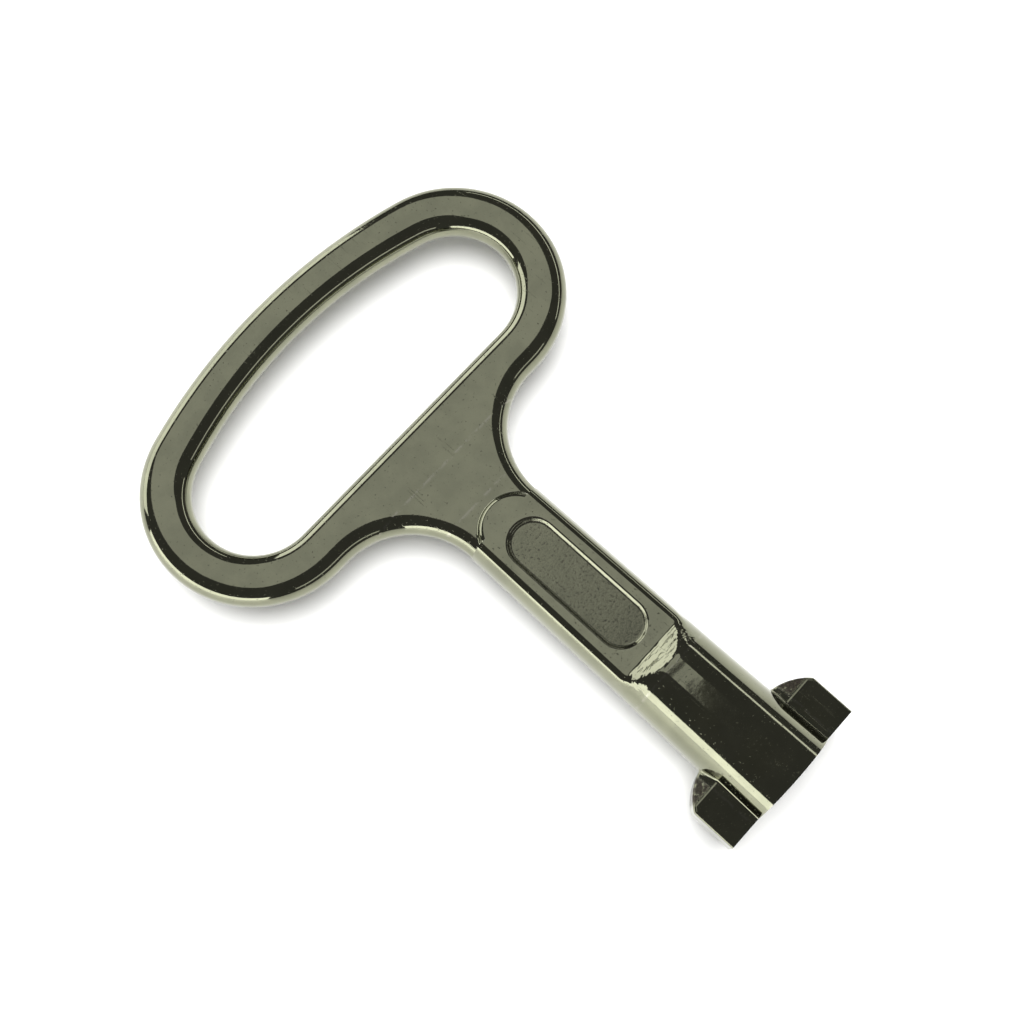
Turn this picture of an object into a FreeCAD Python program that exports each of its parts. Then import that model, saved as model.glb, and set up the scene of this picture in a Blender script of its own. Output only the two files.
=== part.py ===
import FreeCAD, Part
import math
import os

import Sketcher
from FreeCAD import Vector

# Double-bit key for cabinet and panel locks: one zinc die casting, chrome plated.
#
# Frame, in millimetres: the origin is the middle of the pin bore's mouth, in the flat end of
# the barrel. +X leaves the mouth, away from the finger loop, so the whole key lies at negative
# X. +Y runs across the finger loop and +Z is square to its flat faces. The key's two faces are
# alike, and so are its two sides. A "station" is a distance behind the tip face.
#
# The key is drawn as two bodies, the flat blade and the turned stem with its bits. They are
# fused and blended into one casting, and flat cuts divide the casting, with no gaps, into the
# six named regions that are written out.

DIMENSIONS = [
    ("blade_thickness", 3.8, "Thickness of the finger loop and the web"),
    ("lobe_station", 55.96, "Middle of the loop's round ends"),
    ("lobe_offset", 13.95, "Axis to the middle of the loop's round ends"),
    ("lobe_radius", 11.4, "Outer radius of the loop's round ends"),
    ("crown_radius", 61.9, "Outer radius of the loop's shallow top arc"),
    ("eye_end_radius", 6.38, "Inner radius of the loop's round ends"),
    ("eye_crown_radius", 51.8, "Inner radius of the loop's shallow top arc"),
    ("neck_radius", 8.35, "Concave radius between the loop and the shank"),
    ("neck_half_width", 4.6, "Half the web's width where it meets the shank"),
    ("web_end_station", 35.6, "End of the web, inside the shank"),
    ("outer_rounding", 1.8, "Rounding of the blade's outer edges"),
    ("eye_rounding", 1.8, "Rounding of the edges round the finger hole"),
    ("tip_radius", 5.18, "Barrel radius at the tip"),
    ("draft_station", 13.5, "Where the barrel's steeper draft ends"),
    ("draft_radius", 4.9, "Barrel radius where its steeper draft ends"),
    ("bow_end_radius", 4.62, "Shank radius at the loop end"),
    ("stem_length", 39.5, "Length of the turned stem before its end is trimmed"),
    ("land_height", 2.9, "Axis to the flat land on each face of the shank"),
    ("land_end_radius", 3.75, "Radius of the land's round end on the web"),
    ("land_end_station", 38.05, "Furthest point of the land's round end"),
    ("shoulder_station", 35.9, "Shoulder where the round shank stops on the web"),
    ("scoop_station", 17.9, "Start of the scoop that ends the land"),
    ("scoop_radius", 1.1, "Concave radius of the scoop"),
    ("scoop_slope", 42.0, "Slope that the scoop rises to, in degrees"),
    ("land_rounding", 1.2, "Rounding of the land's long edges and of the scoop's rim"),
    ("land_end_rounding", 0.7, "Rounding of the rim of the land's round end"),
    ("step_rounding", 0.22, "Concave rounding at the foot of the land's round end"),
    ("panel_half_width", 2.17, "Half width of the sunken panel's floor"),
    ("panel_start", 18.95, "End of the panel's floor nearer the tip"),
    ("panel_end", 34.4, "End of the panel's floor nearer the loop"),
    ("panel_depth", 0.35, "Depth of the sunken panel"),
    ("panel_draft", 45.0, "Slope of the panel's sides, from upright, in degrees"),
    ("panel_rounding", 0.28, "Rounding of the sunken panel's rim and floor"),
    ("bit_half_span", 8.45, "Axis to the outer edge of a bit"),
    ("bit_thickness", 3.4, "Thickness of a bit"),
    ("bit_flat_length", 4.95, "Start of a bit's sloping back"),
    ("bit_side_length", 4.6, "Length of a bit's straight outer edge"),
    ("bit_length", 6.95, "Back end of the sloping backs, where they are thinnest"),
    ("bit_back_thickness", 0.9, "Thickness of a bit at its back end"),
    ("bit_corner_radius", 5.4, "Radius of a bit's rounded back corner"),
    ("bit_root_station", 6.75, "Where the rounded back corner reaches the barrel"),
    ("bit_root_offset", 5.0, "Axis to the point where that corner reaches the barrel"),
    ("bit_root_rounding", 0.35, "Concave rounding between a bit and the barrel"),
    ("bit_edge_rounding", 0.3, "Rounding of a bit's edges"),
    ("bore_radius", 2.65, "Radius of the bore over the lock's 5 mm pin"),
    ("bore_depth", 14.0, "Depth of the bore"),
    ("bore_chamfer", 0.3, "Chamfer at the mouth of the bore"),
    ("bow_cut", 44.0, "Cut between the loop and the web"),
    ("web_cut", 39.0, "Cut between the web and the shank"),
    ("barrel_cut", 14.8, "Cut between the shank and the barrel"),
    ("bit_cut", 5.6, "Axis to the cut between the barrel and a bit"),
    ("cut_margin", 4.0, "How far a cutting shape reaches past the metal"),
]

document = FreeCAD.newDocument("double_bit_key")
sheet = document.addObject("Spreadsheet::Sheet", "sheet")
for row, (alias, value, meaning) in enumerate(DIMENSIONS, start=1):
    sheet.set(f"A{row}", meaning)
    sheet.set(f"B{row}", str(value))
    sheet.setAlias(f"B{row}", alias)
document.recompute()

START, END, CENTRE = 1, 2, 3
X_AXIS = -1
ORIGIN = (-1, 1)
TOLERANCE = 0.02
# How far from the barrel's radius the middle of an edge at a bit's root may lie.
ROOT_BAND = 0.6


def size(alias):
    """The value of one cell of the sheet, in millimetres or degrees."""
    return float(sheet.get(alias))


def bind(feature, **formulas):
    """Bind properties of a feature to formulas, in which a sheet value is given by its alias."""
    for name, formula in formulas.items():
        feature.setExpression(name.replace("__", "."), in_sheet(formula))


def in_sheet(formula):
    """Put the sheet's name before each alias of a formula."""
    words = formula.split(" ")
    aliases = {alias for alias, value, meaning in DIMENSIONS}
    return " ".join(f"sheet.{word}" if word in aliases else word for word in words)


# ---------------------------------------------------------------- sketches

def origin_plane(body, role):
    """One of a body's own origin planes, such as XY_Plane."""
    return next(plane for plane in body.Origin.OriginFeatures if plane.Role == role)


def add_sketch(body, name, role):
    """An empty sketch on one of the body's origin planes."""
    sketch = body.newObject("Sketcher::SketchObject", name)
    sketch.AttachmentSupport = [(origin_plane(body, role), "")]
    sketch.MapMode = "FlatFace"
    return sketch


def add_line(sketch, start, end):
    return sketch.addGeometry(Part.LineSegment(Vector(*start, 0), Vector(*end, 0)))


def add_arc(sketch, centre, radius, first, last):
    """An arc that runs anticlockwise from one angle to another, both in degrees."""
    circle = Part.Circle(Vector(*centre, 0), Vector(0, 0, 1), radius)
    return sketch.addGeometry(Part.ArcOfCircle(circle, math.radians(first), math.radians(last)))


def constrain(sketch, *rules):
    """Add geometric constraints, each given as Sketcher.Constraint takes it."""
    for rule in rules:
        sketch.addConstraint(Sketcher.Constraint(*rule))


def drawn_measure(sketch, kind, element, *points):
    """The present value of a dimension, as its element is drawn."""
    if kind == "Radius":
        return sketch.Geometry[element].Radius
    if kind == "Angle":
        run = sketch.Geometry[element].EndPoint - sketch.Geometry[element].StartPoint
        return math.atan2(run.y, run.x)
    first = sketch.getPoint(element, points[0])
    last = sketch.getPoint(points[1], points[2])
    return last.x - first.x if kind == "DistanceX" else last.y - first.y


def drive(sketch, formula, *rule):
    """Add a dimension to a sketch and take its value from the sheet."""
    index = sketch.addConstraint(Sketcher.Constraint(*rule, drawn_measure(sketch, *rule)))
    sketch.setExpression(f"Constraints[{index}]", in_sheet(formula))


def drive_station(sketch, formula, element, point):
    """Fix how far behind the tip face a point of a sketch lies."""
    drive(sketch, formula, "DistanceX", element, point, *ORIGIN)


def drive_height(sketch, formula, element, point):
    """Fix how far a point of a sketch lies above the sketch's horizontal axis."""
    drive(sketch, formula, "DistanceY", *ORIGIN, element, point)


def drive_depth(sketch, formula, element, point):
    """Fix how far a point of a sketch lies below the sketch's horizontal axis."""
    drive(sketch, formula, "DistanceY", element, point, *ORIGIN)


def tangent_angle(large_radius, small_radius, offset):
    """Angle at which a centred large arc touches a round end, from straight back, in degrees."""
    return math.degrees(math.asin(offset / (large_radius - small_radius)))


def add_round_ends(sketch, crown_radius, end_radius):
    """A shallow crown arc between the loop's two round ends, which it touches."""
    station, offset = size("lobe_station"), size("lobe_offset")
    angle = tangent_angle(crown_radius, end_radius, offset)
    crown_station = station - offset / math.tan(math.radians(angle))
    crown = add_arc(sketch, (-crown_station, 0), crown_radius, 180 - angle, 180 + angle)
    left = add_arc(sketch, (-station, offset), end_radius, 0, 180 - angle)
    right = add_arc(sketch, (-station, -offset), end_radius, 180 + angle, 360)
    constrain(
        sketch,
        ("Tangent", crown, START, left, END),
        ("Tangent", crown, END, right, START),
        ("Equal", left, right),
    )
    return crown, left, right


def draw_blade(body):
    """Outline of the finger loop and the web, with the D-shaped finger hole."""
    sketch = add_sketch(body, "blade_outline", "XY_Plane")
    lobe_foot = size("lobe_station") - size("lobe_radius")
    neck_station = lobe_foot - size("neck_radius")
    neck_offset = size("neck_half_width") + size("neck_radius")
    web_end = size("web_end_station")
    side = size("neck_half_width")

    crown, left, right = add_round_ends(sketch, size("crown_radius"), size("lobe_radius"))
    left_flank = add_line(sketch, (-lobe_foot, size("lobe_offset")), (-lobe_foot, neck_offset))
    left_neck = add_arc(sketch, (-neck_station, neck_offset), size("neck_radius"), 180, 270)
    left_side = add_line(sketch, (-neck_station, side), (-web_end, side))
    web_end_line = add_line(sketch, (-web_end, side), (-web_end, -side))
    right_side = add_line(sketch, (-web_end, -side), (-neck_station, -side))
    right_neck = add_arc(sketch, (-neck_station, -neck_offset), size("neck_radius"), 90, 180)
    right_flank = add_line(sketch, (-lobe_foot, -neck_offset), (-lobe_foot, -size("lobe_offset")))
    constrain(
        sketch,
        ("Tangent", left, START, left_flank, START),
        ("Tangent", left_flank, END, left_neck, START),
        ("Tangent", left_neck, END, left_side, START),
        ("Coincident", left_side, END, web_end_line, START),
        ("Coincident", web_end_line, END, right_side, START),
        ("Tangent", right_side, END, right_neck, START),
        ("Tangent", right_neck, END, right_flank, START),
        ("Tangent", right_flank, END, right, END),
        ("Vertical", left_flank),
        ("Vertical", web_end_line),
        ("Horizontal", left_side),
        ("Horizontal", right_side),
        ("Symmetric", left, CENTRE, right, CENTRE, X_AXIS),
        ("Symmetric", left_neck, CENTRE, right_neck, CENTRE, X_AXIS),
        ("Equal", left_neck, right_neck),
    )
    drive(sketch, "crown_radius", "Radius", crown)
    drive(sketch, "lobe_radius", "Radius", left)
    drive(sketch, "neck_radius", "Radius", left_neck)
    drive_station(sketch, "lobe_station", left, CENTRE)
    drive_height(sketch, "lobe_offset", left, CENTRE)
    drive_height(sketch, "neck_half_width", left_side, END)
    drive_station(sketch, "web_end_station", web_end_line, START)

    eye_flat_station = size("lobe_station") - size("eye_end_radius")
    eye_crown, eye_left, eye_right = add_round_ends(
        sketch, size("eye_crown_radius"), size("eye_end_radius"))
    eye_flat = add_line(
        sketch, (-eye_flat_station, size("lobe_offset")), (-eye_flat_station, -size("lobe_offset")))
    constrain(
        sketch,
        ("Tangent", eye_left, START, eye_flat, START),
        ("Tangent", eye_flat, END, eye_right, END),
        ("Coincident", eye_left, CENTRE, left, CENTRE),
        ("Coincident", eye_right, CENTRE, right, CENTRE),
    )
    drive(sketch, "eye_crown_radius", "Radius", eye_crown)
    drive(sketch, "eye_end_radius", "Radius", eye_left)
    return sketch


def draw_stem(body):
    """Half section of the turned stem: a steep draft on the barrel, a slight one on the shank."""
    sketch = add_sketch(body, "stem_section", "XY_Plane")
    length = size("stem_length")
    bend = (-size("draft_station"), size("draft_radius"))
    tip = add_line(sketch, (0, 0), (0, size("tip_radius")))
    barrel_wall = add_line(sketch, (0, size("tip_radius")), bend)
    shank_wall = add_line(sketch, bend, (-length, size("bow_end_radius")))
    back = add_line(sketch, (-length, size("bow_end_radius")), (-length, 0))
    axis = add_line(sketch, (-length, 0), (0, 0))
    constrain(
        sketch,
        ("Coincident", tip, END, barrel_wall, START),
        ("Coincident", barrel_wall, END, shank_wall, START),
        ("Coincident", shank_wall, END, back, START),
        ("Coincident", back, END, axis, START),
        ("Coincident", axis, END, tip, START),
        ("Coincident", tip, START, *ORIGIN),
        ("Vertical", tip),
        ("Vertical", back),
        ("Horizontal", axis),
    )
    drive_height(sketch, "tip_radius", barrel_wall, START)
    drive_height(sketch, "draft_radius", barrel_wall, END)
    drive_station(sketch, "draft_station", barrel_wall, END)
    drive_height(sketch, "bow_end_radius", shank_wall, END)
    drive_station(sketch, "stem_length", back, START)
    return sketch


def draw_land_cut(body):
    """Side view of the metal above the land: level, then a scoop up to the round barrel."""
    sketch = add_sketch(body, "land_cut_profile", "XZ_Plane")
    level = size("land_height")
    radius = size("scoop_radius")
    slope = size("scoop_slope")
    rise = math.radians(slope)
    top = size("tip_radius") + size("cut_margin")
    far = size("stem_length") + size("cut_margin")
    near = size("scoop_station")
    ramp_foot = (-near + radius * math.sin(rise), level + radius * (1 - math.cos(rise)))
    ramp_top = (ramp_foot[0] + (top - ramp_foot[1]) / math.tan(rise), top)
    land = add_line(sketch, (-far, level), (-near, level))
    scoop = add_arc(sketch, (-near, level + radius), radius, 270, 270 + slope)
    ramp = add_line(sketch, ramp_foot, ramp_top)
    lid = add_line(sketch, ramp_top, (-far, top))
    back = add_line(sketch, (-far, top), (-far, level))
    constrain(
        sketch,
        ("Tangent", land, END, scoop, START),
        ("Tangent", scoop, END, ramp, START),
        ("Coincident", ramp, END, lid, START),
        ("Coincident", lid, END, back, START),
        ("Coincident", back, END, land, START),
        ("Horizontal", land),
        ("Horizontal", lid),
        ("Vertical", back),
    )
    drive(sketch, "scoop_radius", "Radius", scoop)
    drive(sketch, "scoop_slope * 1 deg", "Angle", ramp)
    drive_height(sketch, "land_height", land, START)
    drive_station(sketch, "scoop_station", land, END)
    drive_height(sketch, "tip_radius + cut_margin", lid, END)
    drive_station(sketch, "stem_length + cut_margin", lid, END)
    return sketch


def draw_land_end(body):
    """Plan of what is trimmed off the stem's end, round the land's round end."""
    sketch = add_sketch(body, "land_end_plan", "XY_Plane")
    radius = size("land_end_radius")
    centre_station = size("land_end_station") - radius
    shoulder = size("shoulder_station")
    reach = math.degrees(math.acos((shoulder - centre_station) / radius))
    corner = radius * math.sin(math.radians(reach))
    side = size("tip_radius") + size("cut_margin")
    far = size("stem_length") + size("cut_margin")
    end = add_arc(sketch, (-centre_station, 0), radius, 180 - reach, 180 + reach)
    right_shoulder = add_line(sketch, (-shoulder, -corner), (-shoulder, -side))
    right_side = add_line(sketch, (-shoulder, -side), (-far, -side))
    back = add_line(sketch, (-far, -side), (-far, side))
    left_side = add_line(sketch, (-far, side), (-shoulder, side))
    left_shoulder = add_line(sketch, (-shoulder, side), (-shoulder, corner))
    constrain(
        sketch,
        ("Coincident", end, END, right_shoulder, START),
        ("Coincident", right_shoulder, END, right_side, START),
        ("Coincident", right_side, END, back, START),
        ("Coincident", back, END, left_side, START),
        ("Coincident", left_side, END, left_shoulder, START),
        ("Coincident", left_shoulder, END, end, START),
        ("Vertical", right_shoulder),
        ("Vertical", back),
        ("Vertical", left_shoulder),
        ("Horizontal", right_side),
        ("Horizontal", left_side),
        ("PointOnObject", end, CENTRE, X_AXIS),
        ("Vertical", end, START, end, END),
    )
    drive(sketch, "land_end_radius", "Radius", end)
    drive_station(sketch, "land_end_station - land_end_radius", end, CENTRE)
    drive_station(sketch, "shoulder_station", right_shoulder, START)
    drive_station(sketch, "stem_length + cut_margin", back, START)
    drive_depth(sketch, "tip_radius + cut_margin", back, START)
    drive_height(sketch, "tip_radius + cut_margin", back, END)
    return sketch


def draw_panel(body):
    """Oblong plan of the sunken panel, at the level of its floor."""
    sketch = add_sketch(body, "panel_plan", "XY_Plane")
    bind(sketch, AttachmentOffset__Base__z="land_height - panel_depth")
    radius = size("panel_half_width")
    far = size("panel_end") - radius
    near = size("panel_start") + radius
    far_end = add_arc(sketch, (-far, 0), radius, 90, 270)
    near_end = add_arc(sketch, (-near, 0), radius, 270, 450)
    left = add_line(sketch, (-far, radius), (-near, radius))
    right = add_line(sketch, (-near, -radius), (-far, -radius))
    constrain(
        sketch,
        ("Tangent", far_end, START, left, START),
        ("Tangent", left, END, near_end, END),
        ("Tangent", near_end, START, right, START),
        ("Tangent", right, END, far_end, END),
        ("PointOnObject", far_end, CENTRE, X_AXIS),
        ("PointOnObject", near_end, CENTRE, X_AXIS),
        ("Equal", far_end, near_end),
    )
    drive(sketch, "panel_half_width", "Radius", far_end)
    drive_station(sketch, "panel_end - panel_half_width", far_end, CENTRE)
    drive_station(sketch, "panel_start + panel_half_width", near_end, CENTRE)
    return sketch


def draw_bit_section(body):
    """Side view of the bar that makes both bits: flat faces, then backs that slope together."""
    sketch = add_sketch(body, "bit_section", "XZ_Plane")
    half = size("bit_thickness") / 2
    half_back = size("bit_back_thickness") / 2
    flat, length = size("bit_flat_length"), size("bit_length")
    corners = [
        (0, half), (-flat, half), (-length, half_back),
        (-length, -half_back), (-flat, -half), (0, -half),
    ]
    sides = [add_line(sketch, start, end) for start, end in zip(corners, corners[1:] + corners[:1])]
    top, top_back, back, under_back, under, tip = sides
    for side, following in zip(sides, sides[1:] + sides[:1]):
        constrain(sketch, ("Coincident", side, END, following, START))
    constrain(
        sketch,
        ("Horizontal", top),
        ("Horizontal", under),
        ("Vertical", tip),
        ("Vertical", back),
        ("Vertical", top, END, under, START),
        ("PointOnObject", tip, END, -2),
    )
    drive_height(sketch, "bit_thickness / 2", top, START)
    drive_depth(sketch, "bit_thickness / 2", under, END)
    drive_station(sketch, "bit_flat_length", top, END)
    drive_station(sketch, "bit_length", back, START)
    drive_height(sketch, "bit_back_thickness / 2", back, START)
    drive_depth(sketch, "bit_back_thickness / 2", back, END)
    return sketch


def draw_bit_corner(body):
    """Plan of what is trimmed off the bar to round the back corner of the left bit."""
    sketch = add_sketch(body, "bit_corner_plan", "XY_Plane")
    side = Vector(-size("bit_side_length"), size("bit_half_span"), 0)
    root = Vector(-size("bit_root_station"), size("bit_root_offset"), 0)
    chord = root - side
    radius = size("bit_corner_radius")
    inward = Vector(-chord.y, chord.x, 0).normalize()
    sagitta_side = math.sqrt(radius ** 2 - (chord.Length / 2) ** 2)
    centre = (side + root) * 0.5 + inward * sagitta_side
    first = math.degrees(math.atan2(side.y - centre.y, side.x - centre.x))
    last = math.degrees(math.atan2(root.y - centre.y, root.x - centre.x))
    far = size("bit_length") + size("cut_margin")
    top = size("bit_half_span") + size("cut_margin")
    corner = add_arc(sketch, (centre.x, centre.y), radius, first, last)
    inner = add_line(sketch, (root.x, root.y), (-far, root.y))
    back = add_line(sketch, (-far, root.y), (-far, top))
    outer = add_line(sketch, (-far, top), (side.x, top))
    front = add_line(sketch, (side.x, top), (side.x, side.y))
    constrain(
        sketch,
        ("Coincident", corner, END, inner, START),
        ("Coincident", inner, END, back, START),
        ("Coincident", back, END, outer, START),
        ("Coincident", outer, END, front, START),
        ("Coincident", front, END, corner, START),
        ("Horizontal", inner),
        ("Vertical", back),
        ("Horizontal", outer),
        ("Vertical", front),
    )
    drive(sketch, "bit_corner_radius", "Radius", corner)
    drive_station(sketch, "bit_side_length", corner, START)
    drive_height(sketch, "bit_half_span", corner, START)
    drive_station(sketch, "bit_root_station", corner, END)
    drive_height(sketch, "bit_root_offset", corner, END)
    drive_station(sketch, "bit_length + cut_margin", back, START)
    drive_height(sketch, "bit_half_span + cut_margin", back, END)
    return sketch


def draw_bore(body):
    """The bore's circle, in the tip face."""
    sketch = add_sketch(body, "bore_circle", "YZ_Plane")
    circle = sketch.addGeometry(Part.Circle(Vector(0, 0, 0), Vector(0, 0, 1), size("bore_radius")))
    constrain(sketch, ("Coincident", circle, CENTRE, *ORIGIN))
    drive(sketch, "bore_radius", "Radius", circle)
    return sketch


# ---------------------------------------------------------------- features

def add_feature(body, kind, name, profile, **settings):
    """A PartDesign feature made from a sketch, added at the end of the body."""
    feature = body.newObject(kind, name)
    feature.Profile = profile
    for key, value in settings.items():
        setattr(feature, key, value)
    return feature


def add_mirror(body, name, originals, role):
    """The given features again, mirrored in one of the body's origin planes."""
    mirror = body.newObject("PartDesign::Mirrored", name)
    mirror.Originals = originals
    mirror.MirrorPlane = (origin_plane(body, role), [""])
    body.Tip = mirror
    return mirror


def edges_where(shape, test):
    """Names of the edges of a shape whose middle point passes the test."""
    names = []
    for number, edge in enumerate(shape.Edges, start=1):
        middle = edge.valueAt((edge.FirstParameter + edge.LastParameter) / 2)
        if test(edge, middle):
            names.append(f"Edge{number}")
    return names


def add_rounding(body, name, test, radius_alias):
    """A fillet on the edges of the body so far that pass the test."""
    document.recompute()
    base = body.Tip
    rounding = body.newObject("PartDesign::Fillet", name)
    rounding.Base = (base, edges_where(base.Shape, test))
    bind(rounding, Radius=radius_alias)
    document.recompute()
    return rounding


def is_near(value, target):
    return abs(value - target) < TOLERANCE


def make_blade():
    """The flat finger loop and web, with their edges rounded."""
    body = document.addObject("PartDesign::Body", "blade")
    pad = add_feature(body, "PartDesign::Pad", "blade_pad", draw_blade(body), Midplane=True)
    bind(pad, Length="blade_thickness")
    face = size("blade_thickness") / 2
    web_end = size("web_end_station")
    eye_station = size("lobe_station") - size("eye_end_radius")
    eye_reach = size("lobe_offset") + size("eye_end_radius")

    def is_face_edge(middle):
        return is_near(abs(middle.z), face) and not is_near(middle.x, -web_end)

    def is_eye_edge(edge, middle):
        inside = middle.x < -eye_station + TOLERANCE and abs(middle.y) < eye_reach
        crown = size("crown_radius")
        is_outer = edge.Curve.TypeId == "Part::GeomCircle" and (
            is_near(edge.Curve.Radius, crown) or is_near(edge.Curve.Radius, size("lobe_radius")))
        return is_face_edge(middle) and inside and not is_outer

    def is_outer_edge(edge, middle):
        return is_face_edge(middle) and not is_eye_edge(edge, middle)

    add_rounding(body, "outer_rounding_fillet", is_outer_edge, "outer_rounding")
    add_rounding(body, "eye_rounding_fillet", is_eye_edge, "eye_rounding")
    return body


def add_bits(body):
    """A bar across the barrel whose two ends are the bits."""
    bar = add_feature(body, "PartDesign::Pad", "bit_bar", draw_bit_section(body), Midplane=True)
    bind(bar, Length="2 * bit_half_span")
    corner = add_feature(
        body, "PartDesign::Pocket", "bit_corner", draw_bit_corner(body),
        Type="ThroughAll", Midplane=True)
    add_mirror(body, "bit_corner_mirror", [corner], "XZ_Plane")
    document.recompute()


def add_turned_stem(body):
    """The round, tapering stem, from the tip face to inside the web."""
    section = draw_stem(body)
    turned = add_feature(body, "PartDesign::Revolution", "turned_stem", section)
    turned.ReferenceAxis = (section, ["H_Axis"])
    turned.Angle = 360.0
    body.Tip = turned
    document.recompute()


def add_lands(body):
    """The flat land on each face, its scoop, its sunken panel and its round end."""
    level = add_feature(
        body, "PartDesign::Pocket", "land_cut", draw_land_cut(body),
        Type="ThroughAll", Midplane=True)
    document.recompute()
    panel = add_feature(
        body, "PartDesign::Pocket", "panel_pocket", draw_panel(body),
        Type="Length", Reversed=True)
    bind(panel, Length="panel_depth", TaperAngle="panel_draft * 1 deg")
    document.recompute()
    add_mirror(body, "land_mirror", [level, panel], "XY_Plane")
    document.recompute()
    end = add_feature(
        body, "PartDesign::Pocket", "land_end", draw_land_end(body),
        Type="ThroughAll", Midplane=True)
    body.Tip = end
    document.recompute()


def add_bit_roundings(body):
    """Small roundings on the bits' edges, and the concave ones at their roots."""
    face = size("bit_thickness") / 2
    cut = size("bit_cut")
    side = size("bit_half_span")
    barrel = size("tip_radius")

    def is_outer_edge(edge, middle):
        on_bit = abs(middle.y) > cut and middle.x < -TOLERANCE
        is_corner_upright = is_near(middle.x, -size("bit_side_length")) and is_near(middle.z, 0)
        is_straight_side = is_near(abs(middle.y), side) and is_near(abs(middle.z), face)
        is_back_line = is_near(middle.x, -size("bit_flat_length"))
        is_corner_arc = not is_near(middle.z, 0) and not is_straight_side
        return on_bit and (is_corner_upright or is_straight_side or is_back_line or is_corner_arc)

    def is_root_edge(edge, middle):
        from_axis = math.hypot(middle.y, middle.z)
        on_barrel = abs(from_axis - barrel) < ROOT_BAND
        return (on_barrel and abs(middle.z) < face + TOLERANCE
                and -size("bit_length") < middle.x < -TOLERANCE)

    add_rounding(body, "bit_edge_fillet", is_outer_edge, "bit_edge_rounding")
    add_rounding(body, "bit_root_fillet", is_root_edge, "bit_root_rounding")


def add_land_roundings(body):
    """Roundings on the land's edges, up round its scoop, and on the sunken panel."""
    level = size("land_height")
    floor = level - size("panel_depth")
    panel_side = size("panel_half_width")
    spread = size("panel_depth") * math.tan(math.radians(size("panel_draft")))
    beside_panel = (panel_side + size("bow_end_radius")) / 2
    scoop = size("scoop_station")
    barrel_cut = size("barrel_cut")

    def is_panel_edge(middle, spread):
        return (is_near(abs(middle.y), panel_side + spread)
                or is_near(middle.x, spread - size("panel_start"))
                or is_near(middle.x, -spread - size("panel_end")))

    def is_land_edge(edge, middle):
        between = -size("shoulder_station") + TOLERANCE < middle.x < -barrel_cut
        is_side = between and is_near(abs(middle.z), level) and abs(middle.y) > beside_panel
        is_scoop_side = -scoop < middle.x < -barrel_cut and (
            abs(middle.y) > beside_panel or abs(middle.z) > level + size("scoop_radius"))
        return is_side or is_scoop_side

    def is_land_end(edge, middle):
        return is_near(middle.x, -size("land_end_station"))

    def is_panel_floor(edge, middle):
        return is_near(abs(middle.z), floor) and is_panel_edge(middle, 0)

    def is_panel_rim(edge, middle):
        return is_near(abs(middle.z), level) and is_panel_edge(middle, spread)

    add_rounding(body, "land_end_fillet", is_land_end, "land_end_rounding")
    add_rounding(body, "land_edge_fillet", is_land_edge, "land_rounding")
    add_rounding(body, "panel_floor_fillet", is_panel_floor, "panel_rounding")
    add_rounding(body, "panel_rim_fillet", is_panel_rim, "panel_rounding")


def add_bore(body):
    """The blind bore that goes over the lock's pin, chamfered at its mouth."""
    bore = add_feature(body, "PartDesign::Pocket", "bore", draw_bore(body))
    bind(bore, Length="bore_depth")
    document.recompute()

    def is_mouth(edge, middle):
        from_axis = math.hypot(middle.y, middle.z)
        return is_near(middle.x, 0) and is_near(from_axis, size("bore_radius"))

    base = body.Tip
    chamfer = body.newObject("PartDesign::Chamfer", "bore_mouth")
    chamfer.Base = (base, edges_where(base.Shape, is_mouth))
    bind(chamfer, Size="bore_chamfer")
    document.recompute()


def make_stem():
    """The turned stem with its two bits, the lands, their panels and the pin bore."""
    body = document.addObject("PartDesign::Body", "stem")
    add_bits(body)
    add_turned_stem(body)
    add_bit_roundings(body)
    add_lands(body)
    add_land_roundings(body)
    add_bore(body)
    return body


# ---------------------------------------------------------------- the casting and its regions

def make_casting(blade, stem):
    """The blade and the stem in one, blended at the foot of the land's round end."""
    joined = document.addObject("Part::Fuse", "blade_and_stem")
    joined.Base = blade
    joined.Tool = stem
    document.recompute()
    face = size("blade_thickness") / 2

    def is_land_foot(edge, middle):
        return is_near(abs(middle.z), face) and is_near(middle.x, -size("land_end_station"))

    casting = document.addObject("Part::Fillet", "casting")
    casting.Base = joined
    radius = size("step_rounding")
    casting.Edges = [
        (int(name.removeprefix("Edge")), radius, radius)
        for name in edges_where(joined.Shape, is_land_foot)
    ]
    document.recompute()
    return casting


def make_region(casting, name, stations, sides):
    """The piece of the casting inside a box, bounded by formulas for its stations and sides."""
    near, far = stations
    low, high = sides
    margin = "cut_margin"
    box = document.addObject("Part::Box", f"{name}_box")
    bind(
        box,
        Length=f"( {far} ) - ( {near} )",
        Width=f"( {high} ) - ( {low} )",
        Height=f"2 * ( tip_radius + {margin} )",
        Placement__Base__x=f"0 - ( {far} )",
        Placement__Base__y=low,
        Placement__Base__z=f"0 - ( tip_radius + {margin} )",
    )
    region = document.addObject("Part::Common", name)
    region.Label = name
    region.Base = casting
    region.Tool = box
    return region


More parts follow.
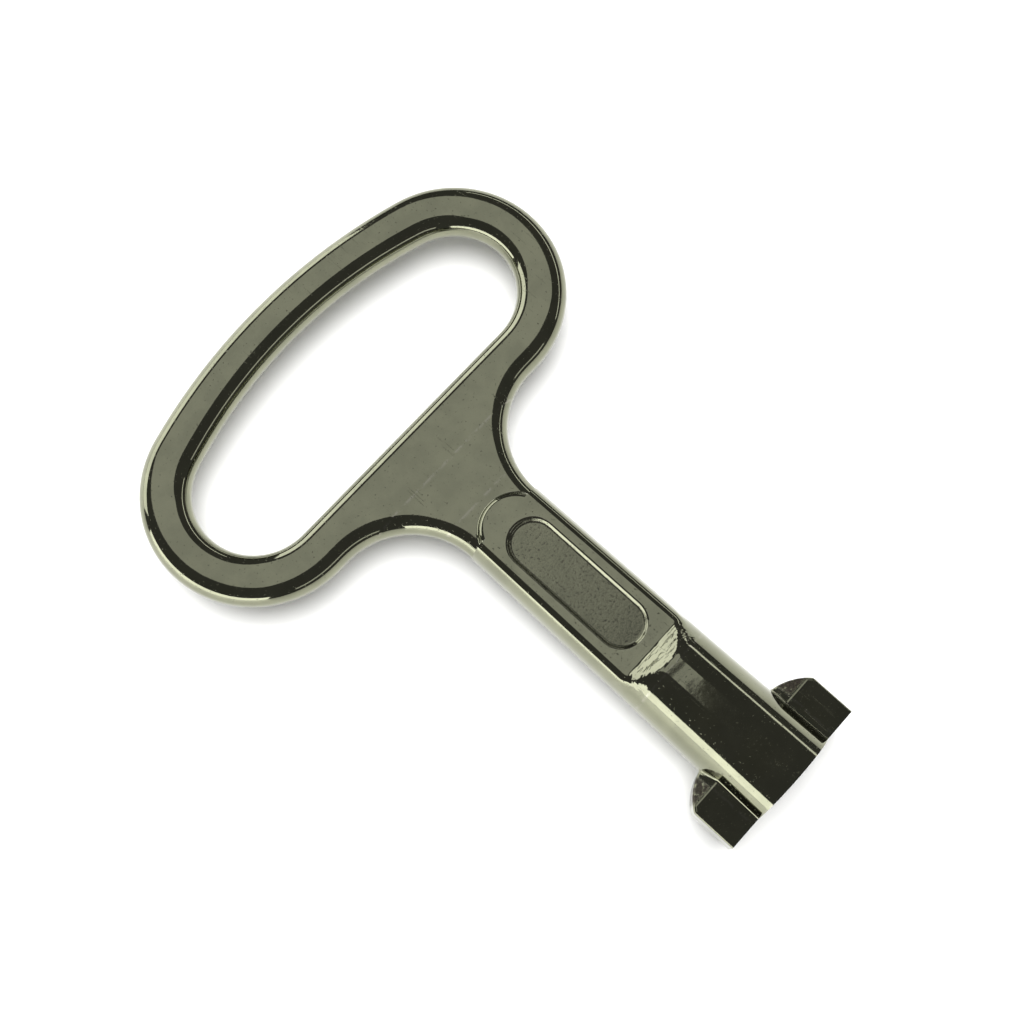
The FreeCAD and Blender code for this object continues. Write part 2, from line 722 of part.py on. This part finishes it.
def make_regions(casting):
    """The casting's named regions, which meet face to face."""
    loop_reach = "lobe_offset + lobe_radius + cut_margin"
    whole_width = (f"0 - ( {loop_reach} )", loop_reach)
    beyond_tip = "0 - cut_margin"
    beyond_bit = "bit_half_span + cut_margin"
    loop_top = "lobe_station + 2 * lobe_radius"
    return [
        make_region(casting, "bow", ("bow_cut", loop_top), whole_width),
        make_region(casting, "web", ("web_cut", "bow_cut"), whole_width),
        make_region(casting, "shank", ("barrel_cut", "web_cut"), whole_width),
        make_region(casting, "barrel", (beyond_tip, "barrel_cut"), ("0 - bit_cut", "bit_cut")),
        make_region(casting, "bit_left", (beyond_tip, "barrel_cut"), ("bit_cut", beyond_bit)),
        make_region(
            casting, "bit_right", (beyond_tip, "barrel_cut"),
            (f"0 - ( {beyond_bit} )", "0 - bit_cut")),
    ]


def check_document():
    """Stop if any object of the document failed to compute."""
    for item in document.Objects:
        failed = [state for state in item.State if state in ("Invalid", "Error")]
        if failed:
            raise RuntimeError(f"{item.Label} did not compute: {failed}")


def check_region(region):
    """Stop unless a region is one sound solid."""
    shape = region.Shape
    if shape.isNull() or not shape.isValid() or len(shape.Solids) != 1:
        raise RuntimeError(f"{region.Label} is not one valid solid")


casting = make_casting(make_blade(), make_stem())
regions = make_regions(casting)
document.recompute()
check_document()
for region in regions:
    check_region(region)

missing = casting.Shape.Volume - sum(region.Shape.Volume for region in regions)
if abs(missing) > TOLERANCE:
    raise RuntimeError(f"the regions leave out {missing:.3f} cubic millimetres of the casting")

os.makedirs("parts", exist_ok=True)
for region in regions:
    region.Shape.exportStep(f"parts/{region.Label}.step")
    print(f"{region.Label}: {region.Shape.Volume:.1f} cubic millimetres")
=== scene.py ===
import math

import bpy
from mathutils import Matrix, Vector


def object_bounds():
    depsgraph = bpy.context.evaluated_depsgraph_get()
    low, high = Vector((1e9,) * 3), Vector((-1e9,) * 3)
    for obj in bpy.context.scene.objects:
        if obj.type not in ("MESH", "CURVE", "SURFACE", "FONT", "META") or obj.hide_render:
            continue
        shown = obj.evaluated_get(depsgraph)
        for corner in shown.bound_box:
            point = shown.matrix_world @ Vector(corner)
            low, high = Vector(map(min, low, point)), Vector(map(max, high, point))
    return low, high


# A double-bit panel key, laid flat on a pale table and seen from almost straight above.
# Metres, in the CAD frame: the tip face is at x = 0, the finger loop at negative x, z is up.

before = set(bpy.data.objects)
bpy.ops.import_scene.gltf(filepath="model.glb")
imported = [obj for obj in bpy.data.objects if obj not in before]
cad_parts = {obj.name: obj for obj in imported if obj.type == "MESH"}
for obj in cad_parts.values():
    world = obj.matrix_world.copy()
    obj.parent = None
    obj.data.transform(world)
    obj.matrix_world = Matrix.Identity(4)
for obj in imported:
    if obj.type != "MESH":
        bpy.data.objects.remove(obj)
cad_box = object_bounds()

MM = 0.001

# The camera stands above the shank, a little to the -y side, and the key runs from the upper
# left of the picture to the lower right.
CAMERA_PLACE = Vector((-11.65, -22.95, 141.05)) * MM
CAMERA_AIM = Vector((-36.57, 1.38, 0.0)) * MM
PICTURE_UP = Vector((-0.657, 0.715, 0.239))
CAMERA_LENS = 52.94
SENSOR_WIDTH = 36.0

FLOOR_SIZE = 4.0
FLOOR_GAP = 0.02 * MM

FLOOR_COLOUR = (0.93, 0.93, 0.92)
FLOOR_ROUGHNESS = 0.3


class NodeTree:
    """Short calls for the shader nodes used below. Sockets are given by name or number."""

    def __init__(self, owner):
        owner.use_nodes = True
        self.tree = owner.node_tree
        self.tree.nodes.clear()

    def add(self, kind, inputs=None, **settings):
        node = self.tree.nodes.new(kind)
        for name, value in settings.items():
            setattr(node, name, value)
        for socket, value in (inputs or {}).items():
            self.feed(node.inputs[socket], value)
        return node

    def feed(self, socket, value):
        """Link an output to a socket, or set the socket's own value."""
        if isinstance(value, bpy.types.NodeSocket):
            self.tree.links.new(value, socket)
        elif hasattr(value, "__len__") and len(value) == 3 and socket.type == "RGBA":
            socket.default_value = (*value, 1.0)
        else:
            socket.default_value = value

    def math(self, operation, *values):
        inputs = dict(enumerate(values))
        return self.add("ShaderNodeMath", inputs, operation=operation).outputs[0]

    def all_of(self, first, *others):
        """The product of masks: 1 only where every mask is 1."""
        product = first
        for other in others:
            product = self.math("MULTIPLY", product, other)
        return product

    def bump(self, height, distance, normal=None, invert=False):
        """The surface's normal with this height, times the distance, added to the surface."""
        inputs = {"Height": height, "Strength": 1.0, "Distance": distance}
        if normal:
            inputs["Normal"] = normal
        return self.add("ShaderNodeBump", inputs, invert=invert).outputs[0]

    def vector(self, operation, *values):
        inputs = dict(enumerate(values))
        node = self.add("ShaderNodeVectorMath", inputs, operation=operation)
        name = "Value" if operation in ("DOT_PRODUCT", "LENGTH") else "Vector"
        return node.outputs[name]

    def parts(self, vector):
        node = self.add("ShaderNodeSeparateXYZ", {0: vector})
        return node.outputs[0], node.outputs[1], node.outputs[2]

    def fade(self, value, low, high):
        """0 below low, 1 above high, smooth between. With low above high it fades the other way."""
        inputs = {"Value": value, "From Min": low, "From Max": high}
        return self.add(
            "ShaderNodeMapRange", inputs, interpolation_type="SMOOTHSTEP").outputs["Result"]

    def spread(self, value, low, high):
        """A value between 0 and 1 moved to the range from low to high."""
        inputs = {"Value": value, "To Min": low, "To Max": high}
        return self.add("ShaderNodeMapRange", inputs).outputs["Result"]

    def mix(self, share, first, second):
        """The first colour where share is 0, the second where it is 1."""
        node = self.add("ShaderNodeMixRGB", {0: share, 1: first, 2: second})
        return node.outputs[0]

    def noise(self, place, scale, detail=2.0, roughness=0.5):
        inputs = {"Vector": place, "Scale": scale, "Detail": detail, "Roughness": roughness}
        return self.add("ShaderNodeTexNoise", inputs).outputs["Fac"]


# ---------------------------------------------------------------- camera, floor and light

def build_camera():
    back = (CAMERA_PLACE - CAMERA_AIM).normalized()
    right = PICTURE_UP.cross(back).normalized()
    up = back.cross(right)
    camera = bpy.data.objects.new("camera", bpy.data.cameras.new("camera"))
    turn = Matrix((right, up, back)).transposed().to_4x4()
    camera.matrix_world = Matrix.Translation(CAMERA_PLACE) @ turn
    camera.data.lens = CAMERA_LENS
    camera.data.sensor_width = SENSOR_WIDTH
    camera.data.clip_start = 0.01
    camera.data.clip_end = 10.0
    bpy.context.scene.collection.objects.link(camera)
    bpy.context.scene.camera = camera


def build_floor():
    """A plain pale table top, just under the barrel."""
    low = cad_box[0].z - FLOOR_GAP
    half = FLOOR_SIZE / 2
    mesh = bpy.data.meshes.new("floor")
    corners = [(-half, -half, low), (half, -half, low), (half, half, low), (-half, half, low)]
    mesh.from_pydata(corners, [], [(0, 1, 2, 3)])
    floor = bpy.data.objects.new("floor", mesh)
    material = bpy.data.materials.new("pale_table")
    nodes = NodeTree(material)
    shader = nodes.add("ShaderNodeBsdfPrincipled", {
        "Base Color": FLOOR_COLOUR,
        "Roughness": FLOOR_ROUGHNESS,
    })
    nodes.add("ShaderNodeOutputMaterial", {"Surface": shader.outputs[0]})
    mesh.materials.append(material)
    bpy.context.scene.collection.objects.link(floor)


# Plain white soft boxes: where each stands, its width and height, and its brightness. The one
# overhead lies level, over the loop's side only. The others face the middle of the key.
SOFT_BOXES = {
    "overhead": (Vector((-0.387, 0.10, 0.60)), (0.70, 0.50), 0.72),
    "near_side": (Vector((-0.03, -0.50, 0.08)), (0.90, 0.16), 3.5),
    "far_side": (Vector((-0.03, 0.50, 0.18)), (0.90, 0.04), 2.0),
    "behind_loop": (Vector((-0.65, -0.10, 0.16)), (0.70, 0.30), 2.4),
    "ahead_of_tip": (Vector((0.50, 0.0, 0.20)), (0.60, 0.07), 1.2),
}
LEVEL_BOX = "overhead"
SOFT_BOX_AIM = Vector((-0.03, 0.0, 0.0))
ROOM = (0.10, 0.10, 0.10)
BACKGROUND = (1.0, 1.0, 1.0)
TABLE_LIGHT_PLACE = Vector((-0.15, 0.1, 0.9))
TABLE_LIGHT_SIZE = 0.9
TABLE_LIGHT_POWER = 15.0


def build_world():
    """A dim even room. The camera sees a white backdrop past the table's edge."""
    world = bpy.data.worlds.new("studio")
    bpy.context.scene.world = world
    nodes = NodeTree(world)
    seen = nodes.add("ShaderNodeLightPath").outputs["Is Camera Ray"]
    colour = nodes.mix(seen, ROOM, BACKGROUND)
    background = nodes.add("ShaderNodeBackground", {"Color": colour, "Strength": 1.0})
    nodes.add("ShaderNodeOutputWorld", {"Surface": background.outputs[0]})


def build_soft_boxes():
    for name, (place, (width, height), brightness) in SOFT_BOXES.items():
        light = bpy.data.lights.new(name, "AREA")
        light.shape = "RECTANGLE"
        light.size = width
        light.size_y = height
        light.energy = math.pi * width * height * brightness
        lamp = bpy.data.objects.new(name, light)
        lamp.matrix_world = Matrix.Translation(place)
        if name != LEVEL_BOX:
            turn = (place - SOFT_BOX_AIM).to_track_quat("Z", "Y")
            lamp.matrix_world = Matrix.Translation(place) @ turn.to_matrix().to_4x4()
        bpy.context.scene.collection.objects.link(lamp)


def build_table_light():
    """A wide soft light over the table. It lights the table, and the metal doesn't mirror it."""
    light = bpy.data.lights.new("table_light", "AREA")
    light.shape = "DISK"
    light.size = TABLE_LIGHT_SIZE
    light.energy = TABLE_LIGHT_POWER
    lamp = bpy.data.objects.new("table_light", light)
    lamp.location = TABLE_LIGHT_PLACE
    lamp.visible_glossy = False
    bpy.context.scene.collection.objects.link(lamp)


# ---------------------------------------------------------------- the plated casting

BRIGHT_METAL = (0.235, 0.240, 0.168)
DULL_METAL = (0.205, 0.210, 0.148)
PIT_METAL = (0.070, 0.066, 0.052)
# Near-black for the bits' sloping backs: partly the dark cast skin, partly painted shade.
CAST_SKIN_AND_PAINTED_SHADE = (0.052, 0.047, 0.036)
WORN_METAL = (0.34, 0.33, 0.28)

# The sunken panel on each face of the shank and the sloping backs of the bits are left as cast; the
# bits' backs are also painted dark, partly as cast skin and partly as painted shade.
# The scoop is polished but wavy. Each region fades out softly at its edges.
SOFT_EDGE = 0.25 * MM
PANEL_ENDS = (-34.3 * MM, -19.1 * MM)
PANEL_SIDE = 2.30 * MM
PANEL_TOP = 2.82 * MM
PANEL_RIM = 0.1 * MM
SCOOP_ENDS = (-17.6 * MM, -14.9 * MM)
SCOOP_FOOT = 2.98 * MM
BIT_BACK_START = -5.1 * MM
BIT_BACK_END = (-9.0 * MM, -8.0 * MM)
BIT_ROOT = 5.7 * MM

# Noise scales, in parts to the metre.
WAVE_SCALE = 420.0
RIPPLE_SCALE = 1900.0
PIT_SCALE = 4200.0
CAST_SCALE = 3600.0
STREAK_SCALE = 1500.0
STREAK_STRETCH = (1.0, 0.45, 1.0)
PATCH_SCALE = 160.0
BLOTCH_SCALE = 330.0
SCRATCH_SCALE = (260.0, 9000.0, 260.0)
SCRATCH_TURN = 0.5

# How far each kind of mark stands out of the surface or sinks into it.
WAVE_DEPTH = 0.007 * MM
RIPPLE_DEPTH = 0.0016 * MM
PIT_DEPTH = 0.010 * MM
CAST_DEPTH = 0.022 * MM
STREAK_DEPTH = 0.09 * MM

POLISHED_ROUGHNESS = (0.03, 0.09)
CAST_ROUGHNESS = (0.14, 0.30)
SCRATCH_ROUGHNESS = 0.16
SCRATCH_HEIGHT = 0.35
WEAR_RADIUS = 0.35 * MM
WEAR_STRENGTH = 0.6
PIT_DARKNESS = 0.45
CAST_PIT_DARKNESS = 0.75


def plating_regions(nodes, place):
    """Masks over the casting: the sunken panels, the bits' backs and the scoops."""
    x, y, z = nodes.parts(place)
    side = nodes.math("ABSOLUTE", y)
    height = nodes.math("ABSOLUTE", z)

    on_panel = nodes.all_of(
        nodes.fade(x, PANEL_ENDS[0] - SOFT_EDGE, PANEL_ENDS[0] + SOFT_EDGE),
        nodes.fade(x, PANEL_ENDS[1] + SOFT_EDGE, PANEL_ENDS[1] - SOFT_EDGE),
        nodes.fade(side, PANEL_SIDE + SOFT_EDGE, PANEL_SIDE - SOFT_EDGE),
        nodes.fade(height, PANEL_TOP + PANEL_RIM, PANEL_TOP - PANEL_RIM),
    )
    on_bit_back = nodes.all_of(
        nodes.fade(x, BIT_BACK_START + SOFT_EDGE, BIT_BACK_START - SOFT_EDGE),
        nodes.fade(side, BIT_ROOT - SOFT_EDGE, BIT_ROOT + SOFT_EDGE),
        nodes.fade(x, *BIT_BACK_END),
    )
    on_scoop = nodes.all_of(
        nodes.fade(height, SCOOP_FOOT, SCOOP_FOOT + SOFT_EDGE),
        nodes.fade(x, SCOOP_ENDS[1], SCOOP_ENDS[1] - SOFT_EDGE),
        nodes.fade(x, SCOOP_ENDS[0] - SOFT_EDGE, SCOOP_ENDS[0] + SOFT_EDGE),
    )
    return on_panel, on_bit_back, on_scoop


def hairline_scratches(nodes, place):
    """Long thin scratches, all one way, in scattered patches."""
    along = nodes.add("ShaderNodeMapping", {
        "Vector": place,
        "Rotation": (0.0, 0.0, SCRATCH_TURN),
        "Scale": SCRATCH_SCALE,
    })
    hairs = nodes.fade(nodes.noise(along.outputs[0], 1.0, 1.0), 0.69, 0.76)
    patches = nodes.noise(place, PATCH_SCALE, 2.0)
    return nodes.math("MULTIPLY", hairs, nodes.fade(patches, 0.46, 0.60))


def rubbed_edges(nodes, normal, ripple):
    """Edges where handling has rubbed the plating bright, found where the surface bends."""
    rounded = nodes.add("ShaderNodeBevel", {"Radius": WEAR_RADIUS}, samples=4).outputs[0]
    bend = nodes.vector("DOT_PRODUCT", normal, rounded)
    return nodes.math("MULTIPLY", nodes.fade(bend, 0.995, 0.93), nodes.fade(ripple, 0.40, 0.58))


def build_plating():
    """Zinc plating on a die casting: polished faces, the rough cast skin where it is kept, and
    painted shade on the bits' sloping backs.
    """
    material = bpy.data.materials.new("plated_zinc")
    nodes = NodeTree(material)
    geometry = nodes.add("ShaderNodeNewGeometry")
    place = geometry.outputs["Position"]
    on_panel, on_bit_back, on_scoop = plating_regions(nodes, place)
    as_cast = nodes.math("MAXIMUM", on_panel, on_bit_back)

    waves = nodes.noise(place, WAVE_SCALE, 2.0)
    ripple = nodes.noise(place, RIPPLE_SCALE, 2.0)
    pits = nodes.fade(nodes.noise(place, PIT_SCALE, 2.0, 0.6), 0.67, 0.75)
    cast_skin = nodes.noise(place, CAST_SCALE, 5.0, 0.7)
    streaks = nodes.noise(nodes.vector("MULTIPLY", place, STREAK_STRETCH), STREAK_SCALE, 2.0)
    blotches = nodes.noise(place, BLOTCH_SCALE, 4.0, 0.6)
    scratches = hairline_scratches(nodes, place)
    rubbed = rubbed_edges(nodes, geometry.outputs["Normal"], ripple)

    plated = nodes.mix(nodes.fade(blotches, 0.34, 0.66), DULL_METAL, BRIGHT_METAL)
    worn = nodes.mix(nodes.math("MULTIPLY", rubbed, WEAR_STRENGTH), plated, WORN_METAL)
    # The bits' sloping backs are painted near-black in mottled patches: partly the cast skin's own
    # dark tone, partly painted shade.
    mottled_skin_and_shade = nodes.math("MULTIPLY", on_bit_back, nodes.fade(ripple, 0.72, 0.54))
    skinned_and_shaded = nodes.mix(mottled_skin_and_shade, worn, CAST_SKIN_AND_PAINTED_SHADE)
    cast_pits = nodes.math("MULTIPLY", nodes.fade(cast_skin, 0.44, 0.35), as_cast)
    dark = nodes.math("MAXIMUM", nodes.math("MULTIPLY", pits, PIT_DARKNESS),
                      nodes.math("MULTIPLY", cast_pits, CAST_PIT_DARKNESS))
    colour = nodes.mix(dark, skinned_and_shaded, PIT_METAL)

    polish = nodes.math("ADD", nodes.spread(blotches, *POLISHED_ROUGHNESS),
                        nodes.math("MULTIPLY", scratches, SCRATCH_ROUGHNESS))
    polish = nodes.math("MULTIPLY", polish, nodes.math("SUBTRACT", 1.0, as_cast))
    rough = nodes.math("MULTIPLY", nodes.spread(cast_skin, *CAST_ROUGHNESS), as_cast)

    marks = nodes.math("MAXIMUM", nodes.math("MULTIPLY", scratches, SCRATCH_HEIGHT), pits)
    cast_height = nodes.math("MULTIPLY", nodes.math("SUBTRACT", cast_skin, 0.5), as_cast)
    scoop_height = nodes.math("MULTIPLY", nodes.math("SUBTRACT", streaks, 0.5), on_scoop)
    normal = nodes.bump(waves, WAVE_DEPTH)
    normal = nodes.bump(ripple, RIPPLE_DEPTH, normal)
    normal = nodes.bump(marks, PIT_DEPTH, normal, invert=True)
    normal = nodes.bump(cast_height, CAST_DEPTH, normal)
    normal = nodes.bump(scoop_height, STREAK_DEPTH, normal)

    shader = nodes.add("ShaderNodeBsdfPrincipled", {
        "Base Color": colour,
        "Metallic": 1.0,
        "Roughness": nodes.math("ADD", polish, rough),
        "Normal": normal,
    })
    nodes.add("ShaderNodeOutputMaterial", {"Surface": shader.outputs[0]})
    return material


plating = build_plating()
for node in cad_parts.values():
    node.data.materials.clear()
    node.data.materials.append(plating)

build_camera()
build_floor()
build_world()
build_soft_boxes()
build_table_light()
bpy.context.scene.view_settings.view_transform = "Standard"
